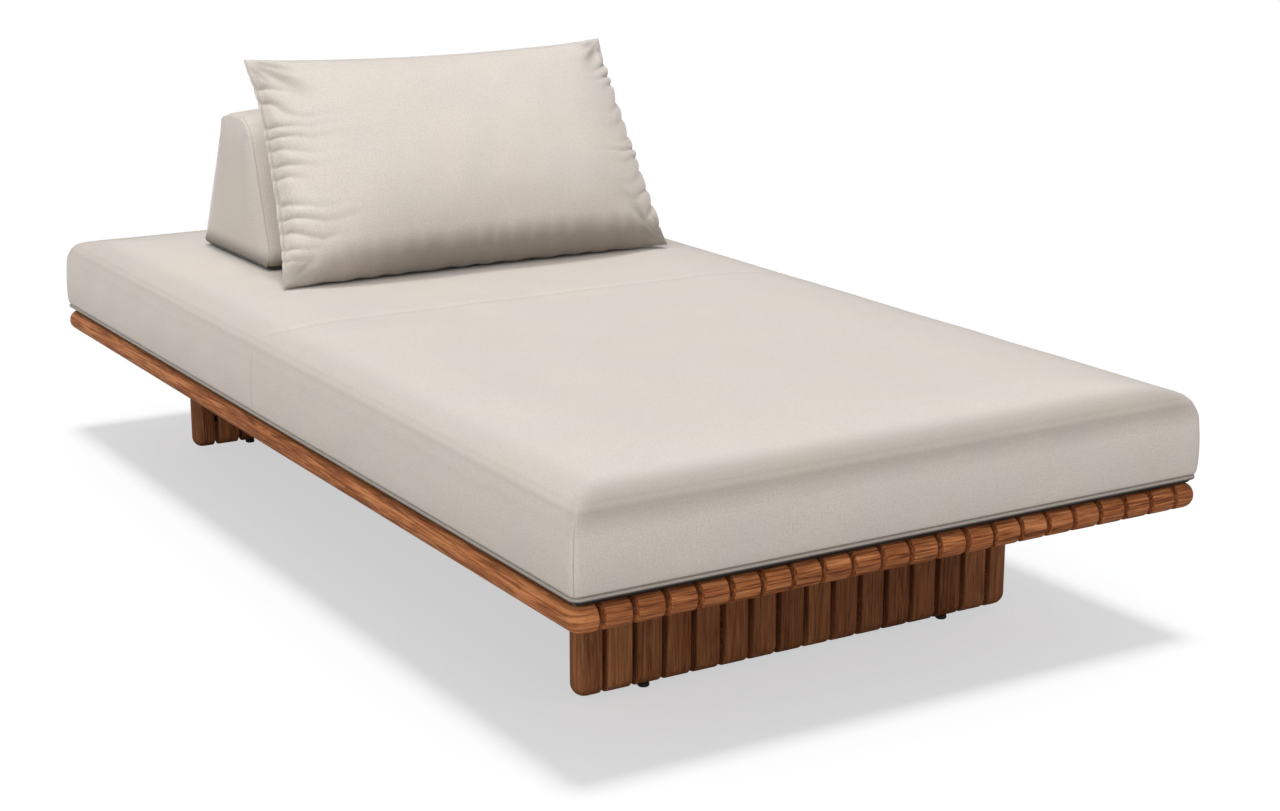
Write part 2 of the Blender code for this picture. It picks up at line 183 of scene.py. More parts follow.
def teak(name, along, light, mid, dark, edge=None, toneSpread=0.0, contrast=1.0):
    material, shader, place = newFinish(name, teakLook["shader"])
    tone = place.mark("boardTone")
    x, y, z = place.parts()
    run, side, other = {"X": (x, y, z), "Y": (y, x, z), "Z": (z, x, y)}[along]
    shift = tone * teakLook["boardShift"]
    if edge:  # along the deck's edge the grain follows its outline, round the corners
        fromSide = edge["halfWidth"] - abs(x)
        fromEnd = edge["halfLength"] - abs(y)
        blur = edge["blur"]
        onRail = fromSide.ease(edge["railWidth"] + blur, edge["railWidth"] - blur)
        turned = fromEnd.ease(edge["endBand"] + blur, edge["endBand"] - blur).math("MAXIMUM", onRail)
        apart = 3.1 * x.math("SIGN")
        run = run + turned * (fromEnd - fromSide + apart - run)
        side = side + turned * (fromSide.math("SMOOTH_MIN", fromEnd, 0.03) + apart - side)
        shift = shift * (1 - turned)
        tone = tone + turned * (0.5 - tone)
    run = run + shift
    side = side + 0.35 * shift
    grain = place.node("ShaderNodeCombineXYZ", None, {0: run, 1: side, 2: other})
    layers = (grain.layer(*teakLook[key]) for key in ("figure", "streak", "fibre", "pore"))
    figure, streak, fibre, pore = layers
    streak, pore = streak.ease(0.30, 0.70), pore.ease(0.66, 0.74)
    rings = (figure * teakLook["rings"]).math("FRACT")
    rings = rings.ease(0.0, 0.75) * rings.ease(1.0, 0.86)
    shade = contrast * (0.34 * figure + 0.16 * rings + 0.34 * streak + 0.32 * fibre - 0.58) + 0.49
    shade = shade + toneSpread * (tone - 0.5)
    if edge:
        shade = shade + onRail * teakLook["railLift"]
    colour = shade.ease(0.26, 0.52).blend(dark, mid)
    colour = shade.ease(0.48, 0.80).blend(colour, light)
    inPore = [part * share for part, share in zip(dark, teakLook["poreTint"])]
    colour = (pore * teakLook["poreShade"]).blend(colour, inPore)
    blotch = place.noise(*teakLook["blotch"])
    red = tone.ease(0.2, 0.9) * 0.30 + blotch.ease(0.46, 0.66) * 0.35
    colour = red.blend(colour, teakLook["redTint"], "MULTIPLY")
    colour.into(shader, "Base Color")
    (0.56 + 0.10 * streak - 0.06 * rings).into(shader, "Roughness")
    bump(streak * 0.5 + fibre * 0.35 - pore * 0.8, shader, *teakLook["bump"])
    return material


canvasLook = {
    "colour": (0.722, 0.662, 0.602, 1.0),
    "cool": (0.988, 0.994, 1.0, 1.0),  # shares of the colour, in soft patches
    "warm": (1.008, 1.0, 0.986, 1.0),
    "yarn": 0.0013,
    "slubWarp": ((560.0, 46.0, 1.0), 2.0, 0.6),
    "slubWeft": ((46.0, 560.0, 1.0), 2.0, 0.6),
    "fleck": (310.0, 2.0, 0.7),
    "patch": (5.5, 3.0, 0.55),
    "tintPatch": (7.5, 2.0, 0.5),
    "tintShift": (4.1, 2.3, 0.7),
    "bump": (0.22, 0.0006),
    # how far seam lines and painted shade darken the cloth, and the dark colour they blend to
    "seamAndShadeStrength": 0.55,
    "shader": {"Sheen Weight": 0.6, "Sheen Roughness": 0.3, "Specular IOR Level": 0.2},
    "seamAndShadeColour": (0.150, 0.120, 0.093, 1.0),
    "paintedShadowColour": (0.012, 0.011, 0.010, 1.0),  # painted shadow, near black, along the foot of the soft pieces
}


def canvas(name, seamsAndShade, paintedShadow=None, laidFlat=True):
    # seamsAndShade(place) gives a mask of seam lines and painted shade
    # paintedShadow: a CAD piece, and how far over its foot the painted shadow begins and is full
    material, shader, place = newFinish(name, canvasLook["shader"])
    flat = place.node("ShaderNodeUVMap", {"uv_map": "weave"}) if laidFlat else place
    across, along, _ = flat.parts()
    yarn = canvasLook["yarn"]
    over = flat.node("ShaderNodeTexChecker", None, {"Vector": flat, "Scale": 1 / yarn}, out="Fac")
    warp, weft = (abs((way * (math.pi / yarn)).math("SINE")) for way in (across, along))
    weave = weft + over * (warp - weft)
    slubWarp, slubWeft = (flat.layer(*canvasLook[key]) for key in ("slubWarp", "slubWeft"))
    fleck, patch = flat.noise(*canvasLook["fleck"]), place.noise(*canvasLook["patch"])
    tintPatch = place.vector("ADD", canvasLook["tintShift"]).noise(*canvasLook["tintPatch"])
    plain = canvasLook["colour"]
    cool, warm = ([part * share for part, share in zip(plain, canvasLook[key])]
                  for key in ("cool", "warm"))
    colour = tintPatch.ease(0.36, 0.64).blend(cool, warm)
    level = 0.61 + 0.14 * (slubWarp + slubWeft) + 0.36 * fleck + 0.04 * patch + 0.05 * weave
    colour = colour.node("ShaderNodeVectorMath", {"operation": "SCALE"}, {0: colour, "Scale": level})
    # seam lines and painted shade blend the cloth towards a dark colour
    colour = (seamsAndShade(place) * canvasLook["seamAndShadeStrength"]).blend(colour, canvasLook["seamAndShadeColour"])
    # painted shadow, near black, along the foot
    if paintedShadow:
        piece, high, low = paintedShadow
        colour = place.above(piece).ease(high, low).blend(colour, canvasLook["paintedShadowColour"])
    colour.into(shader, "Base Color")
    (0.86 + 0.10 * fleck).into(shader, "Roughness")
    bump(weave * 0.6 + slubWarp * 0.5 + slubWeft * 0.5 + fleck * 0.4, shader, *canvasLook["bump"])
    return material


def seamLine(distance, outer, inner, depth):  # a soft line where the distance is nothing
    return abs(distance).ease(outer, inner) * depth


def plainMetal(name, colour, rough, metallic, grit):
    material, shader, place = newFinish(name, {"Metallic": metallic})
    speck = place.noise(grit, 3.0, 0.6)
    cloud = place.noise(35.0, 2.0, 0.5)
    lighter = tuple(min(1.0, part * 1.7 + 0.004) for part in colour[:3]) + (1.0,)
    (0.65 * speck + 0.35 * cloud).ease(0.35, 0.7).blend(colour, lighter).into(shader, "Base Color")
    (rough - 0.10 + 0.14 * speck + 0.08 * cloud).into(shader, "Roughness")
    bump(speck, shader, 0.12, 0.0002)
    return material


deckTones = [paint(*teakLook[key]) for key in ("light", "mid", "dark")]
# a lighter copy of the deck's teak: painted light that makes up for the shade under the deck
legTones = [paint(*teakLook[key]) for key in ("legLight", "legMid", "legDark")]
deckEdge = {
    "halfWidth": -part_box("slat_01")[0].x, "halfLength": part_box("slat_01")[1].y,
    "endBand": 0.0365, "railWidth": 0.042, "blur": 0.0008,
}
deckTeak = teak("deckTeak", "Y", *deckTones, edge=deckEdge, toneSpread=teakLook["deckSpread"])
legTeak = teak(
    "legTeak", "Z", *legTones, toneSpread=teakLook["legSpread"], contrast=teakLook["legContrast"]
)
bearerTeak = teak("bearerTeak", "X", *deckTones)
blackSteel = plainMetal("blackSteel", (0.016, 0.016, 0.017, 1.0), rough=0.46, metallic=0.7, grit=900.0)
blackNylon = plainMetal("blackNylon", (0.011, 0.011, 0.012, 1.0), rough=0.52, metallic=0.0, grit=1400.0)
brass = plainMetal("brass", (0.52, 0.37, 0.15, 1.0), rough=0.34, metallic=1.0, grit=700.0)
print("lounger: finishes ready")


def newTree(name, **inputs):  # inputs: the names of each kind of socket
    tree = bpy.data.node_groups.new(name, "GeometryNodeTree")
    for kind, keys in (inputs | {"Material": ("Finish",)}).items():
        for key in keys:
            tree.interface.new_socket(key, in_out="INPUT", socket_type="NodeSocket" + kind)
    tree.interface.new_socket("Result", in_out="OUTPUT", socket_type="NodeSocketGeometry")
    return Wire(tree).node("NodeGroupInput")


def endTree(start, shape):
    real = shape.node("GeometryNodeRealizeInstances", None, {"Geometry": shape})
    dressed = real.node("GeometryNodeSetMaterial", None, {"Geometry": real, "Material": start.also("Finish")})
    dressed.into(start.tree.nodes.new("NodeGroupOutput"), "Result")
    return start.tree


def grow(name, tree, values, mesh=None, sharp=35):  # runs a tree and keeps its result as a plain mesh
    piece = bpy.data.objects.new(name, mesh or bpy.data.meshes.new(name))
    scene.collection.objects.link(piece)
    step = piece.modifiers.new(tree.name, "NODES")
    step.node_group = tree
    for item in tree.interface.items_tree:
        if item.in_out == "INPUT" and item.name in values:
            step[item.identifier] = values[item.name]
    graph = bpy.context.evaluated_depsgraph_get()
    result = bpy.data.meshes.new_from_object(piece.evaluated_get(graph))
    piece.modifiers.remove(step)
    piece.data = result
    result.name = name
    bm = bmesh.new()
    bm.from_mesh(result)
    bmesh.ops.recalc_face_normals(bm, faces=bm.faces)
    bm.to_mesh(result)
    bm.free()
    result.shade_smooth()
    result.set_sharp_from_angle(angle=math.radians(sharp))
    return piece


def stored(wire, shape, name, value, domain="POINT"):
    sockets = {"Geometry": shape, "Name": name, "Value": value}
    return wire.node("GeometryNodeStoreNamedAttribute", {"data_type": "FLOAT", "domain": domain}, sockets)


def recalled(wire, name, kind="FLOAT"):
    return wire.node("GeometryNodeInputNamedAttribute", {"data_type": kind}, {"Name": name}, "Attribute")


rowLook = {
    "sideSteps": 8,
    "endSteps": 14,
    "arris": 0.0014,
    "noStop": 9.0,  # beyond the deck, whose boards are round at both ends
    "weld": 0.00001,
    "seed": 11,
}


def boardRowTree():
    # a row of bullnosed boards: each is a stadium outline, swept across its width and eased at its sides
    sideSteps, endSteps = rowLook["sideSteps"], rowLook["endSteps"]
    around = 2 * (endSteps + 1) + 1
    lengths = ("Pitch", "Width", "Thickness", "Arris", "High", "Low", "Stop")
    row = newTree("boardRow", Int=("Count", "Seed"), Float=lengths, Vector=("Turn", "Place"))
    sheet = row.node("GeometryNodeMeshGrid", None, {"Vertices X": 2 * sideSteps + 2, "Vertices Y": around})
    index = row.node("GeometryNodeInputIndex")
    sheet = stored(row, sheet, "loop", (index / around).math("FLOOR"))
    sheet = stored(row, sheet, "spot", index.math("MODULO", around))
    sockets = {"Count": row.also("Count"), "Offset": (0.0, 0.0, 0.0)}
    spots = row.node("GeometryNodeMeshLine", None, sockets)
    boards = row.node("GeometryNodeInstanceOnPoints", None, {"Points": spots, "Instance": sheet})
    boards = stored(row, boards, "board", index, "INSTANCE")
    boards = row.node("GeometryNodeRealizeInstances", None, {"Geometry": boards})

    board, loop, spot = (recalled(row, name) for name in ("board", "loop", "spot"))
    count, thick = row.also("Count"), row.also("Thickness")
    fromMiddle = loop - (2 * sideSteps + 1) / 2
    side = fromMiddle.math("SIGN")
    step = abs(fromMiddle) - 0.5
    angle = (step / (sideSteps - 1)).math("MINIMUM", 1.0) * (math.pi / 2)
    first = board.math("LESS_THAN", 0.5) * side.math("LESS_THAN", 0.0)
    last = board.math("GREATER_THAN", count - 1.5) * side.math("GREATER_THAN", 0.0)
    outer = first + last
    ease = row.also("Arris") + outer * (thick / 2 - row.also("Arris"))
    x = side * (row.also("Width") / 2 - ease + ease * angle.math("SINE"))
    x = x + (board - (count - 1.0) / 2) * row.also("Pitch")
    reach = (thick / 2 - ease + ease * angle.math("COSINE")) * step.math("LESS_THAN", sideSteps - 0.5)
    half = (spot / (endSteps + 1)).math("FLOOR")
    turn = half * math.pi - math.pi / 2 + (spot - half * (endSteps + 1.0)) * (math.pi / endSteps)
    centre = row.also("High") + half.math("MODULO", 2.0) * (row.also("Low") - row.also("High"))
    y = (centre + reach * turn.math("COSINE")).math("MINIMUM", row.also("Stop"))
    z = reach * turn.math("SINE")
    at = row.node("ShaderNodeCombineXYZ", None, {0: x, 1: y, 2: z})
    boards = row.node("GeometryNodeSetPosition", None, {"Geometry": boards, "Position": at})
    boards = row.node("GeometryNodeMergeByDistance", None, {"Geometry": boards, "Distance": rowLook["weld"]})
    sockets = {2: 0.0, 3: 1.0, 7: board, 8: row.also("Seed")}
    tone = row.node("FunctionNodeRandomValue", {"data_type": "FLOAT"}, sockets, out=1)
    boards = stored(row, boards, "boardTone", tone)
    sockets = {"Geometry": boards, "Translation": row.also("Place"), "Rotation": row.also("Turn")}
    boards = row.node("GeometryNodeTransform", None, sockets)
    return endTree(row, boards)


boardRow = boardRowTree()
slatNames = sorted(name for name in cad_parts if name.startswith("slat_"))
slatLow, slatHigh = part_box(slatNames[0])
slatWidth = slatHigh.x - slatLow.x
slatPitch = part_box(slatNames[1])[0].x - slatLow.x
slatThick = slatHigh.z - slatLow.z

deck = grow("deckSlats", boardRow, {
    "Count": len(slatNames), "Pitch": slatPitch, "Width": slatWidth, "Thickness": slatThick,
    "Arris": rowLook["arris"], "Stop": rowLook["noStop"],
    "High": slatHigh.y - slatThick / 2, "Low": slatLow.y + slatThick / 2,
    "Turn": (0.0, 0.0, 0.0), "Place": (0.0, 0.0, (slatLow.z + slatHigh.z) / 2),
    "Seed": rowLook["seed"], "Finish": deckTeak,
})
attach(deck, "platform")
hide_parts(*slatNames)
print("lounger: deck of", len(slatNames), "slats,", len(deck.data.polygons), "faces")


def rodTree():
    rod = newTree("tieRods", Float=("Length", "Radius", "Rise"), Vector=("Place",))
    sockets = {"Vertices": 18, "Radius": rod.also("Radius"), "Depth": rod.also("Length")}
    bar = rod.node("GeometryNodeMeshCylinder", None, sockets)
    bar = rod.node("GeometryNodeTransform", None, {"Geometry": bar, "Rotation": (0.0, math.pi / 2, 0.0)})
    rise = rod.node("ShaderNodeCombineXYZ", None, {2: rod.also("Rise")})
    sockets = {"Count": 2, "Start Location": rod.also("Place"), "Offset": rise}
    pair = rod.node("GeometryNodeMeshLine", None, sockets)
    rods = rod.node("GeometryNodeInstanceOnPoints", None, {"Points": pair, "Instance": bar})
    return endTree(rod, rods)


legLook = {
    "boards": 16,
    "rodRadius": 0.005,
    "rodInset": 0.049,
    "rodStop": 0.012,
    "seeds": {"foot": 5, "head": 23},
}
tieRods = rodTree()
for end in ("foot", "head"):
    low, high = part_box(f"{end}_leg_panel")
    tall, thick = high.z - low.z, high.y - low.y
    middle = (low.y + high.y) / 2
    boards = grow(f"{end}LegBoards", boardRow, {
        "Count": legLook["boards"], "Pitch": slatPitch, "Width": slatWidth, "Thickness": thick,
        "Arris": rowLook["arris"], "High": tall + thick, "Low": thick / 2, "Stop": tall,
        "Turn": (math.pi / 2, 0.0, 0.0), "Place": (0.0, middle, low.z),
        "Seed": legLook["seeds"][end], "Finish": legTeak,
    })
    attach(boards, "platform")
    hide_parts(f"{end}_leg_panel")
    rods = grow(f"{end}TieRods", tieRods, {
        "Length": high.x - low.x - 2 * legLook["rodStop"], "Radius": legLook["rodRadius"],
        "Rise": tall - 2 * legLook["rodInset"], "Place": (0.0, middle, low.z + legLook["rodInset"]),
        "Finish": blackSteel,
    })
    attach(rods, "platform")
    print(f"lounger: {end} leg of", legLook["boards"], "boards")


screwLook = {
    "radius": 0.0042, "height": 0.0021, "crown": 0.72, "socket": 0.5, "depth": 0.0012, "clear": 0.0002,
    "margin": 0.01,  # the least distance to the end of the bearer or rail
    "stagger": 0.012,  # along the bearer the screws stand to either side in turn
    "railWall": 0.004,
    "railShift": 0.004,
}


def screwTree():
    screw = newTree("screwHeads", Geometry=("Mesh",), Float=("Radius", "Height", "Crown", "Socket", "Depth"))
    sockets = {"Vertices": 12, "Radius": screw.also("Radius"), "Depth": screw.also("Height")}
    head = screw.node("GeometryNodeMeshCylinder", None, sockets)
    top = head.also("Top")
    for share, drop in ((screw.also("Crown"), 0.0), (screw.also("Socket"), -1.0)):
        sockets = {"Geometry": head, "Selection": top, "Scale": share}
        head = screw.node("GeometryNodeScaleElements", {"domain": "FACE"}, sockets)
        depth = screw.node("ShaderNodeCombineXYZ", None, {2: drop * screw.also("Depth")})
        sockets = {"Mesh": head, "Selection": top, "Offset": depth}
        head = screw.node("GeometryNodeExtrudeMesh", {"mode": "FACES"}, sockets)
        top = head.also("Top")
    aim = recalled(screw, "aim", "FLOAT_VECTOR")
    turned = screw.node("FunctionNodeAlignRotationToVector", {"axis": "Z"}, {"Vector": aim})
    sockets = {"Points": screw.also("Mesh"), "Instance": head, "Rotation": turned}
    heads = screw.node("GeometryNodeInstanceOnPoints", None, sockets)
    return endTree(screw, heads)


def screwSpots():
    # one under each slat on every bearer, and a row along each flange of the angle rails
    spots = []
    lift = screwLook["height"] / 2 + screwLook["clear"]
    wall, shift, margin = (screwLook[key] for key in ("railWall", "railShift", "margin"))

    def along(count, low, high):
        for index in range(count):
            x = (index - (count - 1) / 2) * slatPitch
            if low.x + margin < x < high.x - margin:
                yield index, x

    for name in ("bearer_foot", "bearer_mid_foot", "bearer_mid_head", "bearer_head"):
        low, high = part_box(name)
        for index, x in along(len(slatNames), low, high):
            y = (low.y + high.y) / 2 + screwLook["stagger"] * (-1) ** index
            spots.append(((x, y, low.z - lift), (0, 0, -1)))
    for end, inward in (("foot", 1), ("head", -1)):
        low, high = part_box(f"{end}_leg_angle")
        middle = (low + high) / 2
        inner = low.y + wall if inward > 0 else high.y - wall
        for index, x in along(legLook["boards"], low, high):
            spots.append(((x, middle.y + shift * inward, high.z - wall - lift), (0, 0, -1)))
            spots.append(((x, inner + inward * lift, middle.z - shift), (0, inward, 0)))
    return spots


spots = screwSpots()
spotMesh = bpy.data.meshes.new("screwSpots")
spotMesh.from_pydata([place for place, aim in spots], [], [])
aims = spotMesh.attributes.new("aim", "FLOAT_VECTOR", "POINT")
aims.data.foreach_set("vector", np.array([aim for place, aim in spots], np.float32).ravel())
headSizes = {key.capitalize(): screwLook[key] for key in ("radius", "height", "crown", "socket", "depth")}
screws = grow("deckScrews", screwTree(), headSizes | {"Finish": blackSteel}, spotMesh)
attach(screws, "platform")
print("lounger:", len(spots), "screws")


# the CAD pieces that stay, in better finishes
finishes = {"bearer_": bearerTeak, "_leg_angle": blackSteel, "glide_": blackNylon, "insert_": brass}
for name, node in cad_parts.items():
    for part, finish in finishes.items():
        if part in name:
            node.data.materials.clear()
            node.data.materials.append(finish)


def steps(half, insets, cell):  # places from -half to half, close together at the edges
    inner = half - insets[-1]
    count = max(2, round(2 * inner / cell))
    edge = [half - inset for inset in insets[:-1]]
    middle = [-inner + 2 * inner * index / count for index in range(count + 1)]
    return [-place for place in edge] + middle + edge[::-1]


def boxSkin(places):  # the closed skin of a box cut at these places: points, outward quads, facing axes
    spots, points, quads, facing = {}, [], [], []

    def spot(at):
        if at not in spots:
            spots[at] = len(points)
            points.append([places[axis][at[axis]] for axis in range(3)])
        return spots[at]

    for axis in range(3):
        b, c = (axis + 1) % 3, (axis + 2) % 3
        last = len(places[axis]) - 1
        for end in (0, last):
            for p in range(len(places[b]) - 1):
                for q in range(len(places[c]) - 1):
                    quad = []
                    for dp, dq in ((0, 0), (1, 0), (1, 1), (0, 1)):
                        at = [0, 0, 0]
                        at[axis], at[b], at[c] = end, p + dp, q + dq
                        quad.append(spot(tuple(at)))
                    quads.append(quad if end else quad[::-1])
                    facing.append(axis)
    return np.array(points), quads, facing


def smooth(value, low, high):
    t = np.clip((value - low) / (high - low), 0, 1)
    return t * t * (3 - 2 * t)


def bell(value, middle, width):
    return np.exp(-(((value - middle) / width) ** 2))


def newSoft(name, points, quads, flat, finish):  # flat: one (u, v) in metres for each corner of each quad
    mesh = bpy.data.meshes.new(name)
    mesh.from_pydata(points.tolist(), [], quads)
    weave = mesh.uv_layers.new(name="weave")
    weave.data.foreach_set("uv", np.asarray(flat, np.float32).ravel())
    mesh.materials.append(finish)
    piece = bpy.data.objects.new(name, mesh)
    scene.collection.objects.link(piece)
    return piece


def boxWeave(points, quads, facing):
    pick = {0: (1, 2), 1: (0, 2), 2: (0, 1)}
    return [points[corner][list(pick[axis])] for quad, axis in zip(quads, facing) for corner in quad]


def readPoints(mesh):
    flat = np.empty(len(mesh.vertices) * 3, np.float32)
    mesh.vertices.foreach_get("co", flat)
    return flat.reshape(-1, 3).astype(float)


def writePoints(mesh, points):
    mesh.vertices.foreach_set("co", np.asarray(points, np.float32).ravel())
    mesh.update()


def readMark(mesh, name):
    values = np.empty(len(mesh.vertices), np.float32)
    mesh.attributes[name].data.foreach_get("value", values)
    return values.astype(float)


def writeMark(mesh, name, values):
    mesh.attributes.new(name, "FLOAT", "POINT").data.foreach_set("value", values.astype(np.float32))


fillFrames = 20
fillLook = {
    "quality": 4, "mass": 0.25, "use_pressure": True, "uniform_pressure_force": 4.0,
    "vertex_group_mass": "held", "pin_stiffness": 1.0,
}


def fillUp(piece, held, cap, spare=0.0):
    # the cover is filled from inside, and held where a seam keeps its place
    start = readPoints(piece.data)
    group = piece.vertex_groups.new(name="held")
    group.add(np.nonzero(held)[0].tolist(), 1.0, "REPLACE")
    cloth = piece.modifiers.new("fill", "CLOTH")
    for key, value in fillLook.items():
        setattr(cloth.settings, key, value)
    cloth.settings.shrink_min = -spare
    cloth.settings.effector_weights.gravity = 0.0
    cloth.point_cache.frame_start = 1
    cloth.point_cache.frame_end = fillFrames
    for index in range(fillFrames):
        scene.frame_set(index + 1)
    graph = bpy.context.evaluated_depsgraph_get()
    filled = piece.evaluated_get(graph)
    moved = readPoints(filled.to_mesh()) - start
    filled.to_mesh_clear()
    piece.modifiers.remove(cloth)
    piece.vertex_groups.remove(group)
    scene.frame_set(1)
    far = np.maximum(np.linalg.norm(moved, axis=1, keepdims=True), 1e-9)
    writePoints(piece.data, start + moved * cap * np.tanh(far / cap) / far)  # eases towards the cap
    print(f"lounger: {piece.name} filled, moved up to {far.max() * 1000:.1f} mm, kept to {cap * 1000:.0f} mm")


def refine(piece):  # one subdivision, kept in the mesh
    step = piece.modifiers.new("refine", "SUBSURF")
    step.levels = step.render_levels = 1
    graph = bpy.context.evaluated_depsgraph_get()
    finer = bpy.data.meshes.new_from_object(piece.evaluated_get(graph))
    piece.modifiers.remove(step)
    piece.data = finer
    finer.name = piece.name
    finer.shade_smooth()


def keepOff(points, other, gap, margin=0.02, reach=0.06):
    # points inside another piece go to its surface: the dent where two soft pieces meet
    skin = readPoints(other.data)
    tree = BVHTree.FromPolygons(skin.tolist(), [tuple(face.vertices) for face in other.data.polygons])
    close = (points > skin.min(axis=0) - margin) & (points < skin.max(axis=0) + margin)
    for index in np.nonzero(close.all(axis=1))[0]:
        point = Vector(points[index])
        near, normal, face, far = tree.find_nearest(point, reach)
        if near is not None and (point - near).dot(normal) < gap:
            points[index] = near + normal * gap
    return points


def uneven(points, scale, seed):  # a gentle, fixed unevenness, about -0.5 to 0.5
    shift = Vector((3.1 * seed, 1.7 * seed, 0.9 * seed))
    return np.array([noise.noise(Vector(point) * scale + shift) for point in points])


mattressLook = {
    "slack": 0.0015,  # how much lower the cover starts than the CAD solid
    "sideSlack": -0.0015,
    "topRound": 0.040,
    "cornerPower": 9.0,
    "crown": 0.010,  # how far the top falls towards its edges
    "crownBand": 0.180,
    "tuck": 0.0058,  # how far the sides are drawn in behind the welt
    "tuckHeights": (0.0080, 0.0138),
    "tuckUnder": 0.0047,  # below the welt
    "tuckUnderHeights": (0.0, 0.0062),
    "drawIn": 0.0014,  # above the welt
    "drawInHeights": (0.0125, 0.030),
    "swell": 0.0006,
    "swellHeights": (0.013, 0.040),
    "lean": 0.0030,  # the sides lean in towards the roll
    "leanHeights": (0.050, 0.112),
    "creaseHeight": 0.1205,  # the foot of the top roll
    "crease": 0.0020,
    "rollPaintedShade": 0.84,  # painted shade over the top roll, least on the long sides
    "longSides": 0.45,
    "rollTop": 0.142,
    "groove": 0.0022,  # above the welt
    "grooveHeight": 0.0130,
    "grooveWidth": 0.0021,
    "cell": 0.020,
    "cap": 0.0018,  # how far the fill may move the cover
    "heldBelow": 0.0155,
    "joinY": 0.039,  # the sewn joint across the top
    "joinDip": 0.0018,
    "joinLine": (0.0016, 0.0004, 0.60),  # half widths outside and inside, and shade
    "cornerLine": (0.0019, 0.0006, 0.75),
    # painted shade in the groove above the welt
    "grooveShadeLine": (0.0022, 0.0008, 1.1),
    # painted shadow, near black, on the cloth below the welt
    "paintedShadow": ("mattress", 0.0058, 0.0044),
    "welt": 0.0029,
    "weltHeight": 0.0086,
    "weltCorner": 0.010,
    # painted shadow, near black, along the welt's lower edge
    "weltPaintedShadow": ("mattress", 0.0084, 0.0070),
    "topUneven": 0.0011,
    "topScale": 9.0,
    "sideUneven": 0.0016,
    "sideScale": 13.0,
    "seed": 4,
}


def mattressSeamsAndShade(place):
    # seam lines, with painted shade in the groove above the welt and over the top roll
    look = mattressLook
    x, y, _ = place.parts()
    z = place.above("mattress")
    join = seamLine(y - look["joinY"], *look["joinLine"])
    side, end = mattressHalf[0] - abs(x), mattressHalf[1] - abs(y)
    crease = look["creaseHeight"]
    near = side.math("MAXIMUM", end).ease(0.022, 0.014) * z.ease(crease + 0.006, crease - 0.006)
    corner = seamLine(side - end, *look["cornerLine"]) * near
    # painted shade in the groove above the welt
    groove = seamLine(z - look["grooveHeight"], *look["grooveShadeLine"])
    # painted shade over the top roll, less on the long sides
    over = look["rollTop"] - z - side.math("MINIMUM", end)
    roll = over.ease(-0.085, -0.003) * over.ease(0.056, 0.021) * look["rollPaintedShade"]
    roll = roll * (look["longSides"] + (1 - look["longSides"]) * (side - end).ease(-0.03, 0.03))
    return join.math("MAXIMUM", corner).math("MAXIMUM", groove).math("MAXIMUM", roll)


def makeMattress():
    look = mattressLook
    low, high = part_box("mattress")
    tall = high.z - low.z - look["slack"]
    half = np.array([high.x, high.y]) - look["sideSlack"]
    radius = look["topRound"]
    edge = [0, 0.003, 0.007, 0.012, 0.018, 0.026, radius, 0.048, 0.066, 0.086]
    crease = look["creaseHeight"]
    levels = [0, 0.0025, 0.005, 0.0075, 0.0100, 0.0118, 0.0133, 0.0152]
    levels += [0.018, 0.026, 0.036, 0.048, 0.060, 0.074, 0.088]
    levels += [crease + offset for offset in (-0.018, -0.011, -0.005, 0.000, 0.005)]
    levels += [tall - inset for inset in (0.017, 0.012, 0.007, 0.003, 0)]
    across, along = (steps(part, edge, look["cell"]) for part in half)
    points, quads, facing = boxSkin([across, along, levels])
    flat = boxWeave(points, quads, facing)
    inner = np.array([half[0] - radius, half[1] - radius, tall - radius])
    sign = np.sign(points)
    core = np.minimum(np.abs(points), inner) * np.where(sign == 0, 1, sign)
    away = np.abs(points - core) / radius
    power = look["cornerPower"]
    level = (away[:, 0] ** power + away[:, 1] ** power) ** (1 / power)
    length = np.hypot(level, away[:, 2])
    length[length < 1e-6] = 1
    shaped = core + sign * radius * away / length[:, None]
    # the sides: tucked under the welt, a groove above it, a slight swell, and a soft valley under the roll
    z = shaped[:, 2]
    outermost = np.max(np.abs(points[:, :2]) - half, axis=1)
    onSide = smooth(level, 0.55, 0.95) * (outermost > -radius - 0.001)
    outward = away[:, :2] ** 3 * sign[:, :2]
    outward /= np.maximum(np.linalg.norm(outward, axis=1, keepdims=True), 1e-9)
    push = -look["tuck"] * (1 - smooth(z, *look["tuckHeights"]))
    push -= look["groove"] * bell(z, look["grooveHeight"], look["grooveWidth"])
    push -= look["tuckUnder"] * (1 - smooth(z, *look["tuckUnderHeights"]))
    push -= look["drawIn"] * (1 - smooth(z, *look["drawInHeights"]))
    push += look["swell"] * smooth(z, *look["swellHeights"]) - look["lean"] * smooth(z, *look["leanHeights"])
    valley = smooth(z, crease - 0.024, crease) * (1 - smooth(z, crease + 0.0005, crease + 0.010))
    push -= look["crease"] * valley
    shaped[:, :2] += outward * (push * onSide)[:, None]
    under = points[:, 2] < 1e-6
    limit = half - look["tuck"] - look["tuckUnder"] - look["drawIn"]
    shaped[under, :2] = np.clip(points[under, :2], -limit, limit)
    inside = np.min(half - np.abs(shaped[:, :2]), axis=1)
    shaped[:, 2] -= look["crown"] * (1 - smooth(inside, 0.0, look["crownBand"])) * smooth(z, 0.05, tall)
    shaped += (0, 0, low.z)
    finish = canvas("mattressCanvas", mattressSeamsAndShade, look["paintedShadow"])
    piece = newSoft("mattressCover", shaped, quads, flat, finish)
    fillUp(piece, points[:, 2] < look["heldBelow"], look["cap"])
    refine(piece)
    settleMattress(piece, half)
    return piece


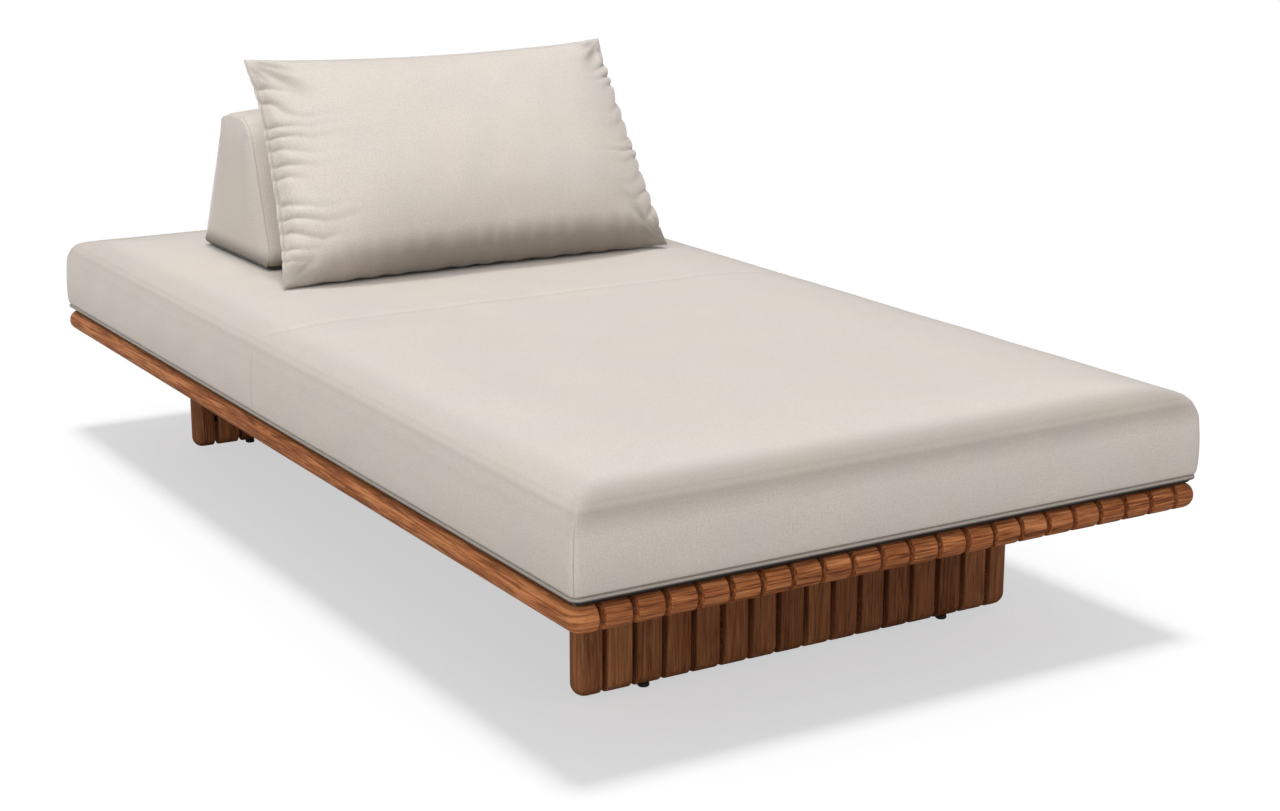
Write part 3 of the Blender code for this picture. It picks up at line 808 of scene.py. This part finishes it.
def settleMattress(piece, half):
    look = mattressLook
    low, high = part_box("mattress")
    settled = readPoints(piece.data)
    onTop = smooth(settled[:, 2], high.z - 0.03, high.z - 0.008)
    settled[:, 2] += look["topUneven"] * uneven(settled, look["topScale"], look["seed"]) * onTop
    settled[:, 2] -= look["joinDip"] * bell(settled[:, 1], look["joinY"], 0.005) * onTop
    onWall = (1 - onTop) * smooth(settled[:, 2], low.z + 0.02, low.z + 0.05)
    swell = uneven(settled * (1, 1, 0.5), look["sideScale"], look["seed"] + 1) * onWall
    away = settled[:, :2] / half
    away = away ** 15 / np.maximum(np.abs(away ** 15).sum(axis=1, keepdims=True), 1e-9)
    settled[:, :2] += look["sideUneven"] * swell[:, None] * away
    # the bolster and the pillow rest on a level top, so it eases towards the CAD solid's own height
    ease, ceiling = 0.0008, high.z - 0.0001
    settled[:, 2] = ceiling - ease * np.logaddexp(0, (ceiling - settled[:, 2]) / ease)
    writePoints(piece.data, settled)


mattressHalf = [part - mattressLook["sideSlack"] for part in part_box("mattress")[1][:2]]
mattress = makeMattress()
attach(mattress, "mattress")
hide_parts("mattress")
print("lounger: mattress of", len(mattress.data.polygons), "faces")


def weltTree():
    welt = newTree("welt", Geometry=("Mesh",), Float=("Radius",))
    path = welt.node("GeometryNodeMeshToCurve", None, {"Mesh": welt.also("Mesh")})
    sockets = {"Resolution": 10, "Radius": welt.also("Radius")}
    ring = welt.node("GeometryNodeCurvePrimitiveCircle", None, sockets)
    tube = welt.node("GeometryNodeCurveToMesh", None, {"Curve": path, "Profile Curve": ring})
    return endTree(welt, tube)


def roundedLoop(half, radius, z, turns=8):
    loop = []
    for index, (sx, sy) in enumerate(((1, 1), (-1, 1), (-1, -1), (1, -1))):
        for turn in range(turns + 1):
            angle = math.pi / 2 * (index + turn / turns)
            x = sx * (half[0] - radius) + radius * math.cos(angle)
            loop.append((x, sy * (half[1] - radius) + radius * math.sin(angle), z))
    return loop


def weltPaintedShade(place):  # painted shade, darker below
    middle = mattressLook["weltHeight"]
    return 0.85 + 0.95 * place.above("mattress").ease(middle + 0.0016, middle - 0.0012)


weltMesh = bpy.data.meshes.new("mattressWelt")
weltHalf = [part - mattressLook["drawIn"] - mattressLook["welt"] for part in mattressHalf]
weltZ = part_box("mattress")[0].z + mattressLook["weltHeight"]
weltPath = roundedLoop(weltHalf, mattressLook["weltCorner"], weltZ)
weltEdges = [(index, (index + 1) % len(weltPath)) for index in range(len(weltPath))]
weltMesh.from_pydata(weltPath, weltEdges, [])
weltCanvas = canvas("weltCanvas", weltPaintedShade, mattressLook["weltPaintedShadow"], laidFlat=False)
welt = grow("mattressWelt", weltTree(), {"Radius": mattressLook["welt"], "Finish": weltCanvas}, weltMesh)
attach(welt, "mattress")


bolsterLook = {
    "slack": 0.004,
    "frontRound": 0.036,
    "backRound": 0.026,
    "footRound": 0.024,
    # painted shade, darker towards the bottom
    "footShade": 1.60,
    "footReach": (0.042, 0.002),
    "wallShade": 0.12,
    "wallReach": (0.20, 0.0),
    "droop": 0.005,  # how far the top falls at its ends
    "endRound": 0.012,
    "topShare": 0.351,  # width at the top as a share of the base
    "topShift": -0.023,
    "cell": 0.012,
    "cap": 0.005,
    # painted shadow, near black, along the foot
    "paintedShadow": ("bolster", 0.0082, 0.0066),
    "seamInset": 0.0115,
    "seamLine": (0.0011, 0.0003, 0.6),
}


def bolsterSeamsAndShade(place):
    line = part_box("bolster")[1].x - bolsterLook["seamInset"]
    seam = seamLine(abs(place.parts()[0]) - line, *bolsterLook["seamLine"])
    z = place.above("bolster")
    # painted shade, darker towards the bottom
    under = z.ease(*bolsterLook["footReach"]) * bolsterLook["footShade"]
    under = under + z.ease(*bolsterLook["wallReach"]) * bolsterLook["wallShade"]
    return seam.math("MAXIMUM", under)


def makeBolster():
    look = bolsterLook
    low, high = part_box("bolster")
    tall = high.z - low.z - look["slack"]
    half = np.array([high.x, (high.y - low.y) / 2]) - look["slack"]
    long = [0, 0.003, 0.006, 0.0085, look["endRound"], 0.017]
    fine = [0, 0.003, 0.007, 0.012, 0.018, 0.026, look["frontRound"]]
    rise = [place + tall / 2 for place in steps(tall / 2, fine, look["cell"])]
    across, along = steps(half[0], long, look["cell"]), steps(half[1], fine, look["cell"])
    points, quads, facing = boxSkin([across, along, rise])
    flat = boxWeave(points, quads, facing)
    x, y, z = points.T
    radius = np.where(z > tall / 2, np.where(y < 0, look["frontRound"], look["backRound"]), look["footRound"])
    wide = np.where(z > tall / 2, radius / look["topShare"], radius)  # the taper narrows it back to a round
    mid = z - tall / 2
    coreY = np.sign(y) * np.minimum(np.abs(y), half[1] - wide)
    coreZ = np.sign(mid) * np.minimum(np.abs(mid), tall / 2 - radius)
    awayY, awayZ = (y - coreY) / wide, (mid - coreZ) / radius
    length = np.maximum(np.hypot(awayY, awayZ), 1)
    skinY, skinZ = coreY + wide * awayY / length, coreZ + radius * awayZ / length
    end = look["endRound"]
    alongEnd = np.clip((np.abs(x) - (half[0] - end)) / end, 0, 1)
    depth = np.minimum(half[1] - np.abs(y), tall / 2 - np.abs(mid))
    inward = 1 - np.clip(depth / end, 0, 1)
    reach = np.maximum(np.hypot(alongEnd, inward), 1)
    newX = np.where(alongEnd > 0, np.sign(x) * (half[0] - end + end * alongEnd / reach), x)
    inset = end - end * inward / reach - np.clip(depth, 0, end)
    skinY *= 1 - inset / half[1]
    skinZ *= 1 - inset / (tall / 2)
    climb = (skinZ + tall / 2) / tall
    newY = skinY * (1 - climb * (1 - look["topShare"])) + climb * look["topShift"] + (low.y + high.y) / 2
    drop = look["droop"] * (1 - smooth(half[0] - np.abs(newX), 0.0, 0.07)) * climb
    shaped = np.column_stack([newX, newY, skinZ + tall / 2 + low.z - drop])
    finish = canvas("bolsterCanvas", bolsterSeamsAndShade, look["paintedShadow"])
    piece = newSoft("bolsterCover", shaped, quads, flat, finish)
    held = (z < 1e-6) | ((np.abs(x) > half[0] - 1e-6) & (depth < 1e-6))
    fillUp(piece, held, look["cap"])
    refine(piece)
    settled = readPoints(piece.data)
    settled[:, 2] = np.maximum(settled[:, 2], low.z)
    writePoints(piece.data, settled)
    return piece


bolster = makeBolster()
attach(bolster, "bolster")
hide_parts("bolster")
print("lounger: bolster of", len(bolster.data.polygons), "faces")


pillowLook = {
    "shrink": 0.006,  # how much shallower the cover starts than the CAD solid
    "fullAcross": 4.0,
    "fullUp": 2.2,
    "belly": 0.26,  # how far the fullest place sits below the middle
    "sideIn": 0.008,
    "topIn": 0.011,
    "bottomIn": 0.004,
    "lip": 0.0014,  # the flat sewn edge of the short sides
    "lipThick": 0.0006,
    "seamInset": 0.0022,
    "seamLine": (0.0016, 0.0005, 0.40),
    "cell": 0.0060,
    "cap": 0.010,
    "spare": 0.004,
    "evened": 28,  # rounds of evening out
    "evenedFrom": (0.012, 0.045),  # how far inside the edge it begins and is full
    "pucker": 0.0062,
    "puckerPitch": 0.029,
    "puckerReach": 0.022,
    "puckerCut": 0.0052,
    "puckerTilt": 0.55,
    "puffReach": (0.55, 0.9),  # shares: the least, and how much more at most
    "puffHeight": (0.55, 0.75),
    "cutReach": (0.7, 1.3),
    "rippleHeight": (0.45, 0.8),
    "ripple": {1: (0.0005, 0.060, 0.020), -1: (0.0034, 0.043, 0.010)},  # top and bottom: height, pitch, reach
    "cornerFolds": {  # side, top or bottom: angle, length and depth of each fold
        (-1, 1): ((26, 0.090, 0.0052), (48, 0.140, 0.0060), (70, 0.075, 0.0040)),
        (1, 1): ((24, 0.070, 0.0040), (47, 0.120, 0.0048), (68, 0.060, 0.0034)),
        (-1, -1): ((16, 0.060, 0.0040), (34, 0.072, 0.0046), (60, 0.060, 0.0040)),
        (1, -1): ((18, 0.095, 0.0050), (40, 0.120, 0.0060), (64, 0.080, 0.0048)),
    },
    "scallop": 0.0036,
    "hem": 0.0012,
    "uneven": 0.0016,
    "unevenScale": 17.0,
    "seed": 2,
    "offBolster": 0.0010,
    "offMattress": 0.0008,
    "cutShade": 0.70,  # painted shade in the folds and where the cloth turns under
    "underShade": 1.25,
    "ears": {  # how far each corner is pulled out and up
        (-1, 1): (0.008, 0.002), (1, 1): (0.003, 0.003), (-1, -1): (0.003, 0.0), (1, -1): (0.006, 0.0),
    },
}


def pillowFrame():  # the sewn edge's plane, sizes and depths, from the CAD solid
    points = readPoints(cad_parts["pillow"].data)
    left, right = points[points[:, 0].argmin()], points[points[:, 0].argmax()]
    top = points[points[:, 2] > points[:, 2].max() - 0.002]
    topLeft, topRight = top[top[:, 0].argmin()], top[top[:, 0].argmax()]
    foot, head = (left + right) / 2, (topLeft + topRight) / 2
    tall = np.linalg.norm(head - foot)
    up = (head - foot) / tall
    front = np.array([0.0, -up[2], up[1]])
    reach = (points - foot) @ front
    return {
        "middle": (foot + head) / 2, "up": up, "front": front, "tall": tall,
        "deep": {1: reach.max(), -1: -reach.min()},
        "bottomWidth": right[0] - left[0], "topWidth": topRight[0] - topLeft[0],
    }


def pillowWidth(sizes, v):
    draw = 2 * pillowLook["sideIn"] * (1 - v * v)
    return sizes["bottomWidth"] + (sizes["topWidth"] - sizes["bottomWidth"]) * (v + 1) / 2 - draw


def makePillow(sizes):
    look = pillowLook
    rim = [0, 0.0007, look["lip"], 0.005, 0.010, 0.0155, 0.022]
    wide, tall = sizes["topWidth"] / 2, sizes["tall"] / 2
    across, upward = (np.array(steps(half, rim, look["cell"])) / half for half in (wide, tall))
    lipAcross = 1 - look["lip"] / wide
    points, quads, marks, spots = [], [], [], {}

    def spot(i, j, face):
        onRim = i in (0, len(across) - 1) or j in (0, len(upward) - 1)
        key = (i, j, 0 if onRim else face)
        if key not in spots:
            spots[key] = len(points)
            u, v = across[i], upward[j]
            settled = abs(v + look["belly"] * (1 - v * v))
            body = 1 - min(1, abs(u) / lipAcross) ** look["fullAcross"]
            body = math.sqrt(body * (1 - settled ** look["fullUp"]))
            drawn = (look["topIn"] if v > 0 else look["bottomIn"]) * (1 - u * u)
            depth = look["lipThick"] + (sizes["deep"][face] - look["shrink"]) * body
            points.append([u * pillowWidth(sizes, v) / 2, v * (tall - drawn), key[2] * depth])
            marks.append([u, v, key[2]])
        return spots[key]

    for face in (1, -1):
        for i in range(len(across) - 1):
            for j in range(len(upward) - 1):
                quad = [spot(i + di, j + dj, face) for di, dj in ((0, 0), (1, 0), (1, 1), (0, 1))]
                quads.append(quad if face > 0 else quad[::-1])
    points, marks = np.array(points), np.array(marks)
    flat = [points[corner][:2] for quad in quads for corner in quad]
    piece = newSoft("pillowCover", points, quads, flat, canvas("pillowCanvas", pillowSeamsAndShade))
    onLip = (np.abs(marks[:, 0]) > lipAcross - 1e-6) | (marks[:, 2] == 0)
    fromSide = (1 - np.abs(marks[:, 0])) * wide
    for name, values in (("across", marks[:, 0]), ("upward", marks[:, 1]), ("fromSide", fromSide)):
        writeMark(piece.data, name, values)
    fillUp(piece, onLip, look["cap"], look["spare"])
    fromEnd = (1 - np.abs(marks[:, 1])) * tall
    evenOut(piece, smooth(np.minimum(fromSide, fromEnd), *look["evenedFrom"]), look["evened"])
    refine(piece)
    return piece


def evenOut(piece, share, rounds, step=0.6):
    # the middle stays free of the small creases that the cloth settles into
    points = readPoints(piece.data)
    ends = np.array([edge.vertices[:] for edge in piece.data.edges])
    near = np.bincount(ends.ravel(), minlength=len(points))
    for _ in range(rounds):
        total = np.bincount(ends[:, 0], points[ends[:, 1], 2], len(points))
        total += np.bincount(ends[:, 1], points[ends[:, 0], 2], len(points))
        points[:, 2] += step * share * (total / near - points[:, 2])
    writePoints(piece.data, points)


def pillowSeamsAndShade(place):
    # the seam line, and painted shade in the folds and where the cloth turns under
    seam = seamLine(place.mark("fromSide") - pillowLook["seamInset"], *pillowLook["seamLine"])
    return seam.math("MAXIMUM", place.mark("paintedFoldShade"))


def chance(number, seed):  # a fixed 0 to 1 for each whole number
    return np.mod(np.abs(np.sin(number * 12.9898 + seed * 78.233) * 43758.5453), 1)


def vary(span, number, seed):  # span: the least, and how much more at most
    return span[0] + span[1] * chance(number, seed)


def pillowPlaces(piece, sizes):  # where each point lies on its face of the pillow
    u, v = (readMark(piece.data, name) for name in ("across", "upward"))
    wide, tall = pillowWidth(sizes, v) / 2, sizes["tall"] / 2
    return SimpleNamespace(
        u=u, side=np.sign(u), end=np.sign(v), face=np.sign(readPoints(piece.data)[:, 2]),
        along=u * wide, run=v * tall, fromSide=(1 - np.abs(u)) * wide, fromEnd=(1 - np.abs(v)) * tall,
    )


def gathers(at):  # along the short sides: soft puffs between sharp cuts that start at the seam
    look = pillowLook
    seed = at.side + 3 * at.face
    turn = (at.run + look["puckerTilt"] * np.minimum(at.fromSide, 0.06)) / look["puckerPitch"]
    turn += 0.28 * np.sin(at.run * 37 + 1.3 * at.side) + 0.17 * np.sin(at.run * 83 + 2.1 + at.side)
    turn += 0.3 * at.side + 0.15 * at.face
    puff, cut, wave = np.floor(turn), np.round(turn), np.abs(np.sin(math.pi * turn))
    away = smooth(at.fromEnd, 0.012, 0.055)
    reach = look["puckerReach"] * vary(look["puffReach"], puff, seed)
    rise = smooth(at.fromSide, 0.001, 0.011) * np.exp(-np.maximum(at.fromSide - 0.010, 0) / reach)
    height = look["pucker"] * vary(look["puffHeight"], puff, 7 + seed)
    reach = look["puckerReach"] * vary(look["cutReach"], cut, 5 + seed)
    line = bell((turn - cut) * look["puckerPitch"], 0, 0.0025 + 0.05 * at.fromSide)
    line = line * smooth(at.fromSide, 0.0, 0.006) * np.exp(-at.fromSide / reach) * away
    lift = height * wave ** 0.9 * rise * away - look["puckerCut"] * line
    # painted shade in the cuts, darkest at the seam
    shade = look["cutShade"] * line * (1 + 0.9 * np.exp(-at.fromSide / 0.010))
    scallop = -look["scallop"] * (1 - wave) * np.exp(-at.fromSide / 0.009) * away
    return lift, shade, scallop


def ripples(at):  # long soft ones along the top and bottom, and the painted shade where the cloth turns under
    look = pillowLook
    lift, shade = np.zeros_like(at.u), np.zeros_like(at.u)
    for which, (height, pitch, reach) in look["ripple"].items():
        here = at.end == which
        turn = at.along / pitch + 0.30 * np.sin(at.along * 21 + which) + 0.13 * np.sin(at.along * 47)
        share = vary(look["rippleHeight"], np.floor(turn), 11 + which + at.face)
        rise = smooth(at.fromEnd, 0.001, 0.012) * np.exp(-np.maximum(at.fromEnd - 0.010, 0) / reach)
        wave = np.abs(np.sin(math.pi * turn))
        lift += height * share * wave ** 1.3 * rise * smooth(at.fromSide, 0.03, 0.09) * here
        if which < 0:
            under = 1 - smooth(at.fromEnd, 0.010 + 0.004 * wave, 0.055 + 0.005 * wave)
            shade = look["underShade"] * under * (0.62 + 0.38 * smooth(at.u, -0.85, -0.30)) * here
    return lift, shade


def cornerFolds(at):  # they fan out of the corners
    lift, shade = np.zeros_like(at.u), np.zeros_like(at.u)
    for (side, end), folds in pillowLook["cornerFolds"].items():
        here = (at.side == side) & (at.end == end)
        for angle, length, depth in folds:
            tilt = math.radians(angle)
            down = at.fromSide * math.cos(tilt) + at.fromEnd * math.sin(tilt)
            off = at.fromEnd * math.cos(tilt) - at.fromSide * math.sin(tilt)
            line = bell(off, 0, 0.003 + 0.11 * np.maximum(down, 0))
            line = line * here * smooth(down, 0.006, 0.035) * (1 - smooth(down, 0.45 * length, length))
            lift -= depth * line
            # painted shade in the folds
            shade = np.maximum(shade, pillowLook["cutShade"] * line)
    return lift, shade


def pillowFolds(piece, sizes):
    look = pillowLook
    points = readPoints(piece.data)
    at = pillowPlaces(piece, sizes)
    lift, shade, scallop = gathers(at)
    for more, darker in (ripples(at), cornerFolds(at)):
        lift += more
        shade = np.maximum(shade, darker)
    lift += look["uneven"] * uneven(points, look["unevenScale"], look["seed"])
    points[:, 2] += lift * at.face * smooth(np.minimum(at.fromSide, at.fromEnd), 0.0, 0.006)
    for (side, end), (wider, higher) in look["ears"].items():
        pull = np.exp(-(at.fromSide ** 2 + at.fromEnd ** 2) / 0.05 ** 2) * (at.side == side) * (at.end == end)
        points[:, 0] += side * wider * pull
        points[:, 1] += end * higher * pull
    points[:, 0] += at.side * scallop
    hem = look["hem"] * np.sin(at.along * 108 + 0.8 * np.sin(at.along * 31)) * np.exp(-at.fromEnd / 0.008)
    points[:, 1] -= hem * smooth(at.fromSide, 0.02, 0.06) * (at.end < 0)
    writePoints(piece.data, points)
    writeMark(piece.data, "paintedFoldShade", shade)


def leanBack(piece, sizes):
    points = readPoints(piece.data)
    lying = np.outer(points[:, 1], sizes["up"]) + np.outer(points[:, 2], sizes["front"])
    lying[:, 0] += points[:, 0]
    writePoints(piece.data, lying + sizes["middle"])


pillowSizes = pillowFrame()
pillow = makePillow(pillowSizes)
pillowFolds(pillow, pillowSizes)
leanBack(pillow, pillowSizes)
rested = keepOff(readPoints(pillow.data), bolster, pillowLook["offBolster"])
rested = keepOff(rested, mattress, pillowLook["offMattress"])
writePoints(pillow.data, rested)
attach(pillow, "pillow")
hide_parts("pillow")
print("lounger: pillow of", len(pillow.data.polygons), "faces")


studioLook = {
    "sky": 0.26,
    "top": 0.40,  # what the lamp overhead adds on a level surface
    "topAngle": 13.0,
    "fill": 0.56,  # what the fill lamp adds on a surface that faces it
    "fillAngle": 60.0,
    "fillTurn": 45.0,  # from straight ahead towards the left
    "fillRise": 48.0,
    "floorHalf": 40,
    "floorGlow": 2.0,
    "floorShare": 0.717,
    "floorTint": (0.970, 0.995, 1.010, 1.0),  # evens out the warm light that the wood throws on the shadow
    "bounce": (0.87, 0.85, 0.82, 1.0),
}


def seenWhite(start):  # camera, glossy and transmission rays
    ray = start.node("ShaderNodeLightPath", out="Is Camera Ray")
    return ray.math("MAXIMUM", ray.also("Is Glossy Ray")).math("MAXIMUM", ray.also("Is Transmission Ray"))


def softLamp(name, strength, angle, towards, away=4):
    lamp = bpy.data.lights.new(name, "SUN")
    lamp.energy = math.pi * strength
    lamp.angle = math.radians(angle)
    hung = bpy.data.objects.new(name, lamp)
    hung.location = Vector(towards) * away
    hung.rotation_euler = Vector(towards).to_track_quat("Z", "Y").to_euler()
    scene.collection.objects.link(hung)
    return hung


def makeStudio():
    look = studioLook
    world = bpy.data.worlds.new("studio")
    scene.world = world
    world.use_nodes = True
    start = Wire(world.node_tree)
    seen = seenWhite(start)
    strength = look["sky"] + seen * (1 - look["sky"])
    back = world.node_tree.nodes["Background"]
    white = (1.0, 1.0, 1.0, 1.0)
    back.inputs["Color"].default_value = white
    strength.into(back, "Strength")

    corners = ((-1, -1), (1, -1), (1, 1), (-1, 1))
    mesh = bpy.data.meshes.new("floor")
    half = look["floorHalf"]
    mesh.from_pydata([(x * half, y * half, 0) for x, y in corners], [], [(0, 1, 2, 3)])
    floor = bpy.data.objects.new("floor", mesh)
    scene.collection.objects.link(floor)
    material = bpy.data.materials.new("paleFloor")
    material.use_nodes = True
    tree = material.node_tree
    tree.nodes.remove(tree.nodes["Principled BSDF"])
    start = Wire(tree)
    seen = start.node("ShaderNodeLightPath", out="Is Camera Ray")
    glow = start.node("ShaderNodeEmission", None, {"Color": look["floorTint"], "Strength": look["floorGlow"]})
    matt = start.node("ShaderNodeBsdfDiffuse", None, {"Color": white})
    shown = start.node("ShaderNodeMixShader", None, {0: look["floorShare"], 1: glow, 2: matt})
    pale = start.node("ShaderNodeBsdfDiffuse", None, {"Color": look["bounce"]})
    surface = start.node("ShaderNodeMixShader", None, {0: seen, 1: pale, 2: shown})
    surface.into(tree.nodes["Material Output"], "Surface")
    mesh.materials.append(material)

    softLamp("topLamp", look["top"], look["topAngle"], (0.0, 0.0, 1.0))
    turn, rise = math.radians(look["fillTurn"]), math.radians(look["fillRise"])
    towards = (-math.sin(turn) * math.cos(rise), -math.cos(turn) * math.cos(rise), math.sin(rise))
    fill = softLamp("fillLamp", look["fill"], look["fillAngle"], towards)
    # the fill lamp leaves the floor's shadow as the lamp overhead draws it
    apart = bpy.data.collections.new("floorApart")
    apart.objects.link(floor)
    apart.collection_objects[0].light_linking.link_state = "EXCLUDE"
    fill.light_linking.receiver_collection = apart


cameraLook = {
    "lens": 63.549,
    "sensor": 36.0,
    "place": (-1.7813, -3.2376, 1.1780),
    "turn": (75.152, 0.0, -31.177),
}


def makeCamera():
    view = bpy.data.cameras.new("photoView")
    view.lens = cameraLook["lens"]
    view.sensor_width = cameraLook["sensor"]
    view.sensor_fit = "HORIZONTAL"
    eye = bpy.data.objects.new("photoView", view)
    eye.location = cameraLook["place"]
    eye.rotation_euler = [math.radians(angle) for angle in cameraLook["turn"]]
    scene.collection.objects.link(eye)
    scene.camera = eye


makeStudio()
makeCamera()
scene.view_settings.view_transform = "Standard"
print("lounger: studio and camera set")

bpy.context.view_layer.update()
